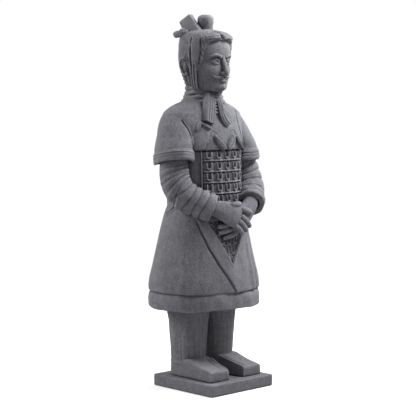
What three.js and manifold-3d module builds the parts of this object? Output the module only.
import * as THREE from 'three';
import Module from 'manifold-3d';
import { mergeVertices } from 'three/addons/utils/BufferGeometryUtils.js';

// A standing officer of the terracotta army kind, cast with a thin square plinth under the shoes.
// Millimetres, +Z up. The figure faces -Y and its own right hand is on the -X side.

// Driving dimensions
const PLINTH_SIDE = 236;
const PLINTH_THICKNESS = 32;
const PLINTH_EDGE_ROUND = 6;
const FIGURE_HEIGHT = 1000;
const FIT_GAP = 0.3;

// The figure's tables are in thousandths of its height, with zero at the soles.
const MIL = FIGURE_HEIGHT / 1000;
const SOLE = PLINTH_THICKNESS + FIT_GAP;
const RIGHT = -1;
const LEFT = 1;
const SIDES = [RIGHT, LEFT];

const CAST_GREY = 0x5c5d61;

const wasm = await Module();
wasm.setup();

// Turns a closed geometry into a solid that can be joined and cut.
function solid(geometry) {
  const bare = geometry.index ? geometry.clone() : geometry;
  bare.deleteAttribute('normal');
  bare.deleteAttribute('uv');
  const welded = mergeVertices(bare, 1e-4);
  const mesh = new wasm.Mesh({
    numProp: 3,
    vertProperties: new Float32Array(welded.attributes.position.array),
    triVerts: new Uint32Array(welded.index.array),
  });
  return new wasm.Manifold(mesh);
}

function moveVertices(geometry, rule) {
  const position = geometry.attributes.position;
  const point = new THREE.Vector3();
  for (let i = 0; i < position.count; i += 1) {
    point.fromBufferAttribute(position, i);
    rule(point);
    position.setXYZ(i, point.x, point.y, point.z);
  }
  return geometry;
}

// Places a geometry given in thousandths of the figure's height on the plinth.
function placed(geometry) {
  return moveVertices(geometry, (p) => p.set(p.x * MIL, p.y * MIL, SOLE + p.z * MIL));
}

function mix(a, b, share) {
  return a + (b - a) * share;
}

// One ring of a stacked body: centre, half width, half depth to the front and back, squareness.
function ring(z, x, y, width, front, back = front, square = 2) {
  return { z, x, y, width, front, back, square };
}

function ringAt(rings, z) {
  let k = 0;
  while (k < rings.length - 2 && z > rings[k + 1].z) {
    k += 1;
  }
  const low = rings[k];
  const high = rings[k + 1];
  const share = Math.min(Math.max((z - low.z) / (high.z - low.z), 0), 1);
  return {
    z,
    x: mix(low.x, high.x, share),
    y: mix(low.y, high.y, share),
    width: mix(low.width, high.width, share),
    front: mix(low.front, high.front, share),
    back: mix(low.back, high.back, share),
    square: mix(low.square, high.square, share),
  };
}

// A closed body through level rings that are listed from the lowest to the highest.
function stack(rings, around) {
  const geometry = new THREE.CylinderGeometry(1, 1, 1, around, rings.length - 1);
  geometry.rotateX(Math.PI / 2);
  moveVertices(geometry, (p) => {
    const row = rings[Math.round((p.z + 0.5) * (rings.length - 1))];
    const reach = Math.hypot(p.x, p.y);
    const across = reach > 0 ? p.x / reach : 0;
    const along = reach > 0 ? p.y / reach : 0;
    const power = 2 / row.square;
    const depth = along < 0 ? row.front : row.back;
    p.x = row.x + reach * row.width * Math.sign(across) * Math.abs(across) ** power;
    p.y = row.y + reach * depth * Math.sign(along) * Math.abs(along) ** power;
    p.z = row.z;
  });
  return solid(placed(geometry));
}

// The depth (Y) of a stacked body's front face at a place seen from the front.
function frontOf(rings, x, z) {
  const row = ringAt(rings, z);
  const across = Math.min(Math.abs((x - row.x) / row.width), 1);
  return row.y - row.front * (1 - across ** row.square) ** (1 / row.square);
}

// A closed body along a smooth path; each stop is x, y, z, half width and, if given, flatness.
// The flatness is the half thickness as a share of the half width, measured towards `up`.
function limb(stops, around, rowsPerStop, up = [0, 0, 1]) {
  const curve = new THREE.CatmullRomCurve3(stops.map((s) => new THREE.Vector3(s[0], s[1], s[2])));
  const rows = (stops.length - 1) * rowsPerStop;
  const geometry = new THREE.CylinderGeometry(1, 1, 1, around, rows);
  geometry.rotateX(Math.PI / 2);
  const upward = new THREE.Vector3(...up);
  moveVertices(geometry, (p) => {
    const t = Math.min(Math.max(p.z + 0.5, 0), 1);
    const place = t * (stops.length - 1);
    const k = Math.min(Math.floor(place), stops.length - 2);
    const radius = mix(stops[k][3], stops[k + 1][3], place - k);
    const flat = mix(stops[k][4] ?? 1, stops[k + 1][4] ?? 1, place - k);
    const tangent = curve.getTangent(t);
    const normal = upward.clone().addScaledVector(tangent, -upward.dot(tangent)).normalize();
    const side = new THREE.Vector3().crossVectors(tangent, normal);
    const centre = curve.getPoint(t);
    const outward = normal.multiplyScalar(p.x * radius * flat).addScaledVector(side, p.y * radius);
    p.copy(centre).add(outward);
  });
  return solid(placed(geometry));
}

// An egg-shaped body, turned by angles in degrees about X, Y and Z.
function egg(centre, halves, around = 16, rows = 10, turn = [0, 0, 0]) {
  const geometry = new THREE.SphereGeometry(1, around, rows);
  geometry.rotateX(Math.PI / 2);
  geometry.scale(halves[0], halves[1], halves[2]);
  geometry.rotateX(THREE.MathUtils.degToRad(turn[0]));
  geometry.rotateY(THREE.MathUtils.degToRad(turn[1]));
  geometry.rotateZ(THREE.MathUtils.degToRad(turn[2]));
  geometry.translate(centre[0], centre[1], centre[2]);
  return solid(placed(geometry));
}

// A strip laid on a front face along a line of x, z, half-width stops.
function strip(line, face, lift, sink, pieces = 4) {
  const stops = (line.length - 1) * pieces;
  const geometry = new THREE.BoxGeometry(1, 1, 1, 1, 1, stops);
  moveVertices(geometry, (p) => {
    const place = (p.z + 0.5) * (line.length - 1);
    const k = Math.min(Math.floor(place + 1e-6), line.length - 2);
    const share = place - k;
    const x = mix(line[k][0], line[k + 1][0], share);
    const z = mix(line[k][1], line[k + 1][1], share);
    const half = mix(line[k][2], line[k + 1][2], share);
    const run = new THREE.Vector2(line[k + 1][0] - line[k][0], line[k + 1][1] - line[k][1]).normalize();
    const side = Math.sign(p.x);
    const out = p.y < 0 ? -lift : sink;
    p.x = x + side * half * run.y;
    p.z = z - side * half * run.x;
    p.y = face(p.x, p.z) + out;
  });
  return solid(placed(geometry));
}

// A flat outline of y, z points, made into a block across X.
function sideBlock(outline, xMin, xMax, bevel = 0) {
  const shape = new THREE.Shape(outline.map(([y, z]) => new THREE.Vector2(y, z)));
  const geometry = new THREE.ExtrudeGeometry(shape, {
    depth: xMax - xMin - 2 * bevel,
    bevelEnabled: bevel > 0,
    bevelSize: bevel,
    bevelOffset: -bevel,
    bevelThickness: bevel,
    bevelSegments: 1,
  });
  moveVertices(geometry, (p) => p.set(p.z + xMin + bevel, p.x, p.y));
  return geometry;
}

// Robe, armour and cape
const ROBE_CENTRE = 37;
const HEM_BAND = [
  ring(193, 0, ROBE_CENTRE, 158, 130, 130, 2.2),
  ring(199, 0, ROBE_CENTRE, 163, 135, 135, 2.2),
  ring(216, 0, ROBE_CENTRE, 164, 136, 136, 2.2),
  ring(240, 0, ROBE_CENTRE, 158, 130, 130, 2.2),
];
const ROBE = [
  ring(235, 0, ROBE_CENTRE, 160, 132, 132, 2.2),
  ring(241, 0, ROBE_CENTRE, 162, 134, 134, 2.2),
  ring(270, 0, ROBE_CENTRE, 160, 132, 132, 2.2),
  ring(311, 0, ROBE_CENTRE, 150, 125, 125, 2.2),
  ring(356, 0, ROBE_CENTRE, 140, 117, 117, 2.2),
  ring(401, 0, ROBE_CENTRE, 130, 109, 107, 2.2),
  ring(445, 0, ROBE_CENTRE, 119, 98, 97, 2.2),
  ring(475, 0, ROBE_CENTRE, 109, 91, 90, 2.2),
  ring(530, 0, ROBE_CENTRE, 102, 86, 87, 2.3),
  ring(636, 0, ROBE_CENTRE, 103, 80, 89, 2.4),
];
const CAPE = [
  ring(626, 0, 39, 112, 84, 89, 2.4),
  ring(633, 0, 39, 115, 86, 91, 2.4),
  ring(684, 0, 42, 126, 83, 85, 2.2),
  ring(712, 0, 46, 135, 75, 72, 2.1),
  ring(728, 0, 48, 131, 70, 59, 2.1),
  ring(740, 0, 49, 118, 64, 51, 2),
  ring(751, 0, 48, 95, 57, 46, 2),
  ring(760, 0, 44, 70, 53, 45, 2),
  ring(772, 0, 40, 52, 47, 43, 2),
];
const robeFront = (x, z) => frontOf(ROBE, x, z);
const capeFront = (x, z) => frontOf(CAPE, x, z);

// Trousers and shoes
const LEG_X = 53;
const LEG_Y = 46;
const SHOE = { toe: -92, heel: 97, inner: 27, outer: 96, height: 27, ankle: 43, instep: 52 };
const HEEL_RING = { width: 43.5, back: 50.5, square: 2.4, stretch: 400 };

function leg(side) {
  return stack([
    ring(20, side * LEG_X, LEG_Y, 40, 46, 46, 2.4),
    ring(95, side * LEG_X, LEG_Y, 43, 51, 51, 2.4),
    ring(150, side * (LEG_X - 1), LEG_Y, 46, 56, 56, 2.4),
    ring(196, side * (LEG_X - 2), LEG_Y, 48, 61, 60, 2.4),
  ], 16);
}

// A shoe with a square toe; its round heel follows the trouser leg
function shoe(side) {
  const { toe, heel, inner, outer, height, ankle, instep } = SHOE;
  const outline = [
    [toe, 0],
    [toe, height - 5],
    [toe + 10, height],
    [-48, height + 9],
    [-14, instep - 5],
    [2, instep],
    [40, ankle + 3],
    [heel, ankle],
    [heel, 0],
  ];
  const long = sideBlock(outline, 0, 1);
  moveVertices(long, (p) => {
    const widening = Math.max(Math.min((p.y - toe) / (LEG_Y - toe), 1), 0);
    const inside = mix(inner, LEG_X - HEEL_RING.width, widening) + 0.08 * p.z;
    const outside = outer - 0.06 * p.z;
    p.x = side * mix(inside, outside, p.x);
  });
  if (side === RIGHT) {
    flip(long);
  }
  const heelRing = (z) => ring(
    z, side * LEG_X, LEG_Y, HEEL_RING.width, HEEL_RING.stretch, HEEL_RING.back, HEEL_RING.square,
  );
  return solid(placed(long)).intersect(stack([heelRing(0), heelRing(70)], 32));
}

function flip(geometry) {
  const position = geometry.attributes.position;
  const first = new THREE.Vector3();
  const second = new THREE.Vector3();
  for (let i = 0; i < position.count; i += 3) {
    first.fromBufferAttribute(position, i);
    second.fromBufferAttribute(position, i + 1);
    position.setXYZ(i, second.x, second.y, second.z);
    position.setXYZ(i + 1, first.x, first.y, first.z);
  }
}

// Short outer sleeve with its cuff band
function outerSleeve(side) {
  return stack([
    ring(597, side * 126, 23, 44, 56, 56),
    ring(602, side * 126, 23, 50, 62, 62),
    ring(625, side * 125, 25, 50, 62, 62),
    ring(628, side * 124, 25, 47, 59, 59),
    ring(648, side * 119, 29, 47, 58, 58),
    ring(670, side * 110, 34, 48, 54, 54),
    ring(695, side * 101, 41, 48, 50, 50),
    ring(714, side * 93, 46, 47, 46, 44),
    ring(728, side * 87, 48, 43, 37, 35),
    ring(738, side * 80, 49, 36, 28, 26),
    ring(746, side * 74, 50, 22, 16, 16),
  ], 16);
}

// Long inner sleeve, gathered in rolls towards the wrist
const ROLL_SWELL = 4;
const CUFF_DEPTH = 12;
const CUFF_MOUTH = 29;

function innerSleeve(path, rolls, bend) {
  const stops = [];
  path.forEach((stop, k) => {
    stops.push(stop);
    if (k >= rolls && k < path.length - 1) {
      const between = stop.map((value, axis) => mix(value, path[k + 1][axis], 0.5));
      between[3] += ROLL_SWELL;
      stops.push(between);
    }
  });
  return limb(stops, 10, 1, bend);
}

// The mouth of an open cuff
function cuffMouth(path) {
  const end = new THREE.Vector3(...path[path.length - 1]);
  const before = new THREE.Vector3(...path[path.length - 2]);
  const run = end.clone().sub(before).normalize();
  const inner = end.clone().addScaledVector(run, -CUFF_DEPTH);
  const outer = end.clone().addScaledVector(run, CUFF_DEPTH);
  return limb([[...inner.toArray(), CUFF_MOUTH], [...outer.toArray(), CUFF_MOUTH]], 10, 1);
}

const RIGHT_SLEEVE = [
  [-125, 27, 640, 38],
  [-126, 24, 600, 39],
  [-129, 19, 566, 40],
  [-129, 11, 540, 41],
  [-122, 2, 518, 41],
  [-108, -9, 502, 41],
  [-94, -20, 492, 40],
  [-80, -31, 484, 40],
  [-66, -42, 476, 40],
  [-53, -53, 469, 39],
];
const LEFT_SLEEVE = [
  [126, 27, 640, 38],
  [131, 20, 600, 39],
  [136, 11, 566, 40],
  [137, 2, 540, 41],
  [132, -11, 516, 41],
  [118, -28, 498, 40],
  [101, -45, 486, 40],
  [85, -60, 476, 38],
];

// Scarf wound round the neck
const SCARF_CENTRE = 40;
const SCARF_BASE = 760;
const SCARF_PITCH = 12;
const SCARF_RADII = [60, 55, 52, 50];

function scarfRings() {
  const rings = [ring(750, 0, SCARF_CENTRE, 60, 60)];
  SCARF_RADII.forEach((radius, k) => {
    const z = SCARF_BASE + k * SCARF_PITCH;
    rings.push(ring(z - SCARF_PITCH / 2, 0, SCARF_CENTRE, radius - 3, radius - 3));
    rings.push(ring(z, 0, SCARF_CENTRE, radius, radius));
  });
  rings.push(ring(806, 0, SCARF_CENTRE, 42, 42));
  return stack(rings, 16);
}

// Head, hair and headdress; the face's heights are measured up from the base of the head
const HEAD_BASE = 765;
const FACE_UP = { eye: 103, nose: 70, mouth: 55, chin: 31, brow: 115 };
const EYE_X = 23;
const HEAD = [
  ring(HEAD_BASE, 0, 40, 38, 36, 36),
  ring(788, 0, 34, 41, 48, 40),
  ring(796, 0, 30, 46, 67, 44, 1.9),
  ring(822, 0, 30, 56, 72, 50, 1.9),
  ring(845, 0, 30, 59, 71, 62, 2),
  ring(868, 0, 30, 60, 68, 76, 2.1),
  ring(885, 0, 30, 61, 71, 78, 2.2),
  ring(905, 0, 30, 61, 70, 76, 2.2),
  ring(925, 0, 31, 56, 64, 70, 2.1),
  ring(942, 0, 33, 44, 50, 56, 2),
];
const HAIR = [
  ring(776, 0, 46, 40, 40, 34),
  ring(808, 0, 41, 53, 52, 38),
  ring(836, 0, 35, 62, 60, 61),
  ring(858, 0, 31, 65, 66, 79),
  ring(880, 0, 30, 66, 70, 82, 2.1),
  ring(902, 0, 30, 66, 73, 79, 2.2),
  ring(925, 0, 31, 63, 73, 74, 2.4),
  ring(940, 0, 32, 58, 70, 66, 2.6),
  ring(951, 0, 34, 46, 54, 52, 2.5),
  ring(957, 0, 38, 24, 30, 34, 2),
];
const faceFront = (x, z) => frontOf(HEAD, x, z);
const FACE = {
  eye: HEAD_BASE + FACE_UP.eye,
  nose: HEAD_BASE + FACE_UP.nose,
  mouth: HEAD_BASE + FACE_UP.mouth,
  chin: HEAD_BASE + FACE_UP.chin,
  brow: HEAD_BASE + FACE_UP.brow,
};

function hairCap() {
  const hairline = [
    [-60, 1000],
    [-60, 929],
    [-36, 926],
    [-26, 916],
    [-12, 872],
    [4, 838],
    [26, 830],
    [40, 800],
    [40, 770],
    [140, 770],
    [140, 1000],
  ];
  const keep = solid(placed(sideBlock(hairline, -120, 120)));
  return stack(HAIR, 18).intersect(keep);
}

function eyes() {
  return SIDES.flatMap((side) => [
    egg([side * EYE_X, faceFront(side * EYE_X, FACE.eye) + 5, FACE.eye], [11, 8, 5], 8, 5),
  ]);
}

function head() {
  const noseTip = faceFront(0, FACE.nose);
  const sockets = SIDES.map((side) => egg(
    [side * EYE_X, faceFront(side * EYE_X, FACE.eye) - 2, FACE.eye + 1],
    [15, 9, 9],
    8,
    6,
  ));
  const brows = SIDES.map((side) => limb([
    [side * 8, faceFront(8, FACE.brow) + 1, FACE.brow - 2, 3],
    [side * 24, faceFront(24, FACE.brow + 3) + 1.5, FACE.brow + 2, 3.6],
    [side * 42, faceFront(42, FACE.brow) + 2, FACE.brow - 4, 2.4],
  ], 5, 1));
  const nose = limb([
    [0, faceFront(0, FACE.brow) + 5, FACE.brow - 4, 7],
    [0, noseTip + 2, FACE.nose + 18, 8],
    [0, noseTip - 7, FACE.nose + 5, 10],
    [0, noseTip - 4, FACE.nose - 3, 7],
  ], 8, 1, [0, 1, 0]);
  const nostrils = SIDES.map((side) => egg([side * 9, noseTip, FACE.nose + 2], [6, 8, 6], 6, 5));
  const lips = [
    egg([0, faceFront(0, FACE.mouth) + 1, FACE.mouth + 3], [16, 6, 3.6], 8, 4),
    egg([0, faceFront(0, FACE.mouth) + 1, FACE.mouth - 3.5], [13, 6, 4], 8, 4),
  ];
  const moustache = SIDES.map((side) => limb([
    [side * 2, faceFront(2, FACE.mouth + 9) - 1, FACE.mouth + 9, 3],
    [side * 14, faceFront(14, FACE.mouth + 7) - 1, FACE.mouth + 6, 4],
    [side * 26, faceFront(26, FACE.mouth + 6), FACE.mouth + 5, 3.2],
    [side * 33, faceFront(33, FACE.mouth + 10), FACE.mouth + 11, 1.4],
  ], 5, 1));
  const chinTuft = egg([0, faceFront(0, FACE.chin + 6) + 3, FACE.chin + 6], [8, 7, 9], 7, 5);
  const ears = SIDES.map((side) => egg([side * 65, 44, 852], [5, 11, 21], 8, 5, [-8, 0, side * 14]));
  const carved = stack(HEAD, 18).subtract(wasm.Manifold.union(sockets));
  return wasm.Manifold.union([
    carved, nose, chinTuft, ...nostrils, ...lips, ...brows, ...moustache, ...ears, ...eyes(),
  ]);
}

function headdress() {
  const slab = solid(placed(sideBlock([
    [22, 938],
    [72, 938],
    [99, 980],
    [94, 985],
    [89, 989],
    [60, 1000],
  ], -41, -16, 1.5)));
  const knot = stack([
    ring(930, 8, 40, 19, 19),
    ring(960, 8, 40, 19, 19),
    ring(985, 8, 40, 21, 21),
    ring(994, 8, 40, 19, 19),
    ring(998, 8, 40, 12, 12),
  ], 16);
  const roll = limb([
    [-46, 58, 946, 8.5],
    [-48, 78, 945, 9.5],
    [-48, 98, 943, 9.5],
    [-47, 112, 941, 7.5],
  ], 10, 1);
  const tie = egg([-45, 75, 948], [10, 9, 12], 10, 6);
  return [slab, knot, roll, tie];
}

// Cap flap in front of each ear, with the two straps that run under the chin
function capStraps(side) {
  const flap = limb([
    [side * 56, 2, 922, 5, 3],
    [side * 61, 4, 890, 6, 3],
    [side * 61, 4, 862, 6, 3],
    [side * 59, 6, 842, 5, 2.4],
  ], 8, 1, [0, 1, 0]);
  const straps = [0, 1].map((k) => limb([
    [side * 61, 3 + 9 * k, 850, 3],
    [side * 58, 4 + 8 * k, 820, 3],
    [side * 49, 6 + 7 * k, 796, 3],
    [side * 32, 4 + 7 * k, 784, 3],
  ], 4, 1));
  return [flap, ...straps];
}

// Two scarf tails that hang from under the chin
const TAIL = { bottom: 699, top: 782, low: -36, high: -19, lift: 8, sink: 13 };

function scarfTails() {
  const hang = (z) => mix(TAIL.low, TAIL.high, (z - TAIL.bottom) / (TAIL.top - TAIL.bottom));
  const face = (x, z) => Math.min(capeFront(x, z), hang(z));
  const near = strip([
    [-36, TAIL.bottom, 16],
    [-31, 740, 17],
    [-26, TAIL.top, 15],
  ], face, TAIL.lift, TAIL.sink, 2);
  const far = strip([
    [22, TAIL.bottom, 10],
    [12, 722, 12],
    [3, 752, 12],
    [1, TAIL.top, 10],
  ], face, TAIL.lift, TAIL.sink, 2);
  return [near, far];
}

// Ends of the knotted ribbons that lie on the cape
const BOW_LIFT = 6;
const BOW_SINK = 6;
const BOW_ENDS = [
  [[-90, 682, 2], [-80, 692, 8], [-70, 704, 3]],
  [[-72, 702, 3], [-62, 697, 5], [-52, 688, 2]],
  [[-6, 629, 6], [-25, 650, 9], [-44, 668, 4]],
  [[12, 629, 3], [24, 648, 10], [36, 667, 2]],
  [[76, 630, 3], [56, 648, 8], [38, 666, 3]],
];

function bows() {
  return BOW_ENDS.map((line) => strip(line, capeFront, BOW_LIFT, BOW_SINK, 2));
}

// Armour plates: full rows over the chest, smaller ones in the pointed apron
const PLATE = { columns: 5, rows: 5, pitchX: 29.5, pitchZ: 28, top: 622, gap: 5, lift: 3, sink: 4 };
const PLATE_BORDER = { gap: 3, half: 2.5, top: 626, lift: 4, pieces: 3 };
const APRON = { rows: 3, tipX: -8, tipZ: 317, topZ: 440, slope: 0.6, pitchZ: 26, gap: 4, lift: 3 };
const APRON_FIRST_ROW = 14;
const APRON_DEPTH = 4;
const APRON_REACH = 8;

function chestPlates() {
  const plates = [];
  const high = PLATE.pitchZ - PLATE.gap;
  for (let row = 0; row < PLATE.rows; row += 1) {
    for (let column = 0; column < PLATE.columns; column += 1) {
      const x = (column - (PLATE.columns - 1) / 2) * PLATE.pitchX;
      const z = PLATE.top - PLATE.pitchZ * row - high;
      const half = (PLATE.pitchX - PLATE.gap) / 2;
      plates.push(strip([[x, z, half], [x, z + high, half]], robeFront, PLATE.lift, PLATE.sink, 1));
    }
  }
  const edge = (PLATE.columns / 2) * PLATE.pitchX + PLATE_BORDER.gap;
  const bottom = PLATE.top - PLATE.pitchZ * PLATE.rows;
  SIDES.forEach((side) => {
    const line = [
      [side * edge, bottom, PLATE_BORDER.half],
      [side * edge, PLATE_BORDER.top, PLATE_BORDER.half],
    ];
    plates.push(strip(line, robeFront, PLATE_BORDER.lift, PLATE.sink, PLATE_BORDER.pieces));
  });
  return plates;
}

function apronCut() {
  const top = APRON.topZ - APRON.tipZ;
  return strip(
    [[APRON.tipX, APRON.tipZ, 0.5], [APRON.tipX, APRON.topZ, top * APRON.slope]],
    robeFront,
    APRON_REACH,
    APRON_DEPTH,
    5,
  );
}

function apronPlates() {
  const plates = [];
  const face = (x, z) => robeFront(x, z) + APRON_DEPTH;
  for (let row = 0; row < APRON.rows; row += 1) {
    const z = APRON.tipZ + APRON_FIRST_ROW + row * APRON.pitchZ;
    const reach = (z - APRON.tipZ) * APRON.slope - 3;
    const count = row + 1;
    const wide = (2 * reach) / count;
    for (let k = 0; k < count; k += 1) {
      const x = APRON.tipX - reach + wide * (k + 0.5);
      const half = Math.max((wide - APRON.gap) / 2, 2);
      plates.push(strip(
        [[x, z, half], [x, z + APRON.pitchZ - APRON.gap, half]],
        face,
        APRON.lift,
        PLATE.sink,
        1,
      ));
    }
  }
  return plates;
}

// The robe's front edge crosses from the right hip down to the middle of the hem.
const LAPEL = [
  [2, 241, 14],
  [-22, 289, 14],
  [-43, 326, 14],
  [-61, 366, 14],
  [-72, 405, 14],
  [-78, 436, 14],
];
const LAPEL_LIFT = 3;
const LAPEL_SINK = 6;

// Hands laid one over the other in front of the belly
function finger(knuckle, tip, radius) {
  const middle = knuckle.map((value, axis) => mix(value, tip[axis], 0.5));
  middle[1] -= 4;
  return limb([
    [...knuckle, radius],
    [...middle, radius],
    [...tip, radius * 0.7],
  ], 6, 1);
}

function hands() {
  const towards = [0, -1, 0];
  const rightBack = limb([
    [-66, -50, 476, 22, 1],
    [-48, -68, 473, 23, 0.8],
    [-30, -82, 462, 31, 0.5],
    [-12, -88, 446, 38, 0.36],
    [-2, -88, 438, 34, 0.3],
  ], 10, 1, towards);
  const rightFingers = [
    finger([2, -92, 454], [50, -89, 416], 8.5),
    finger([-6, -93, 438], [39, -90, 402], 8.5),
    finger([-18, -92, 424], [23, -90, 393], 8.5),
    finger([-34, -90, 414], [4, -88, 393], 8),
  ];
  const rightThumb = finger([-22, -88, 474], [18, -90, 474], 9);
  const leftBack = limb([
    [92, -54, 478, 20, 1],
    [74, -68, 466, 21, 0.9],
    [44, -74, 448, 30, 0.6],
    [8, -76, 428, 34, 0.5],
    [-8, -74, 420, 30, 0.45],
  ], 10, 1, towards);
  const leftFingers = [
    finger([-20, -80, 426], [-68, -76, 419], 8.5),
    finger([-14, -82, 410], [-60, -78, 402], 8.5),
    finger([-2, -84, 397], [-42, -82, 389], 8),
  ];
  const leftThumb = finger([70, -78, 460], [34, -92, 462], 8.5);
  return [rightBack, rightThumb, ...rightFingers, leftBack, leftThumb, ...leftFingers];
}

function figure() {
  const lapel = strip(LAPEL, robeFront, LAPEL_LIFT, LAPEL_SINK, 3);
  const robe = stack(ROBE, 28).subtract(apronCut());
  const parts = [
    robe,
    lapel,
    stack(HEM_BAND, 28),
    stack(CAPE, 28),
    innerSleeve(RIGHT_SLEEVE, 4, [-0.6, -0.75, 0]),
    innerSleeve(LEFT_SLEEVE, 4, [0.6, -0.75, 0]).subtract(cuffMouth(LEFT_SLEEVE)),
    scarfRings(),
    head(),
    hairCap(),
    ...headdress(),
    ...scarfTails(),
    ...bows(),
    ...chestPlates(),
    ...apronPlates(),
    ...hands(),
  ];
  SIDES.forEach((side) => {
    parts.push(leg(side), shoe(side), outerSleeve(side), ...capStraps(side));
  });
  return wasm.Manifold.union(parts);
}

function plinth() {
  const half = PLINTH_SIDE / 2;
  const flat = half - PLINTH_EDGE_ROUND;
  const shape = new THREE.Shape();
  shape.absarc(flat, flat, PLINTH_EDGE_ROUND, 0, Math.PI / 2, false);
  shape.absarc(-flat, flat, PLINTH_EDGE_ROUND, Math.PI / 2, Math.PI, false);
  shape.absarc(-flat, -flat, PLINTH_EDGE_ROUND, Math.PI, 1.5 * Math.PI, false);
  shape.absarc(flat, -flat, PLINTH_EDGE_ROUND, 1.5 * Math.PI, 2 * Math.PI, false);
  const bevel = PLINTH_EDGE_ROUND * 0.6;
  const geometry = new THREE.ExtrudeGeometry(shape, {
    depth: PLINTH_THICKNESS - 2 * bevel,
    bevelEnabled: true,
    bevelSize: bevel,
    bevelOffset: -bevel,
    bevelThickness: bevel,
    bevelSegments: 2,
    curveSegments: 3,
  });
  geometry.translate(0, 0, bevel);
  return solid(geometry);
}

function named(body, name) {
  const mesh = body.getMesh();
  const geometry = new THREE.BufferGeometry();
  geometry.setAttribute('position', new THREE.BufferAttribute(mesh.vertProperties, 3));
  geometry.setIndex(new THREE.BufferAttribute(mesh.triVerts, 1));
  geometry.computeVertexNormals();
  const material = new THREE.MeshStandardMaterial({ color: CAST_GREY, roughness: 0.92, metalness: 0 });
  const part = new THREE.Mesh(geometry, material);
  part.name = name;
  return part;
}

const group = new THREE.Group();
group.add(named(figure(), 'figure'));
group.add(named(plinth(), 'plinth'));

export default group;
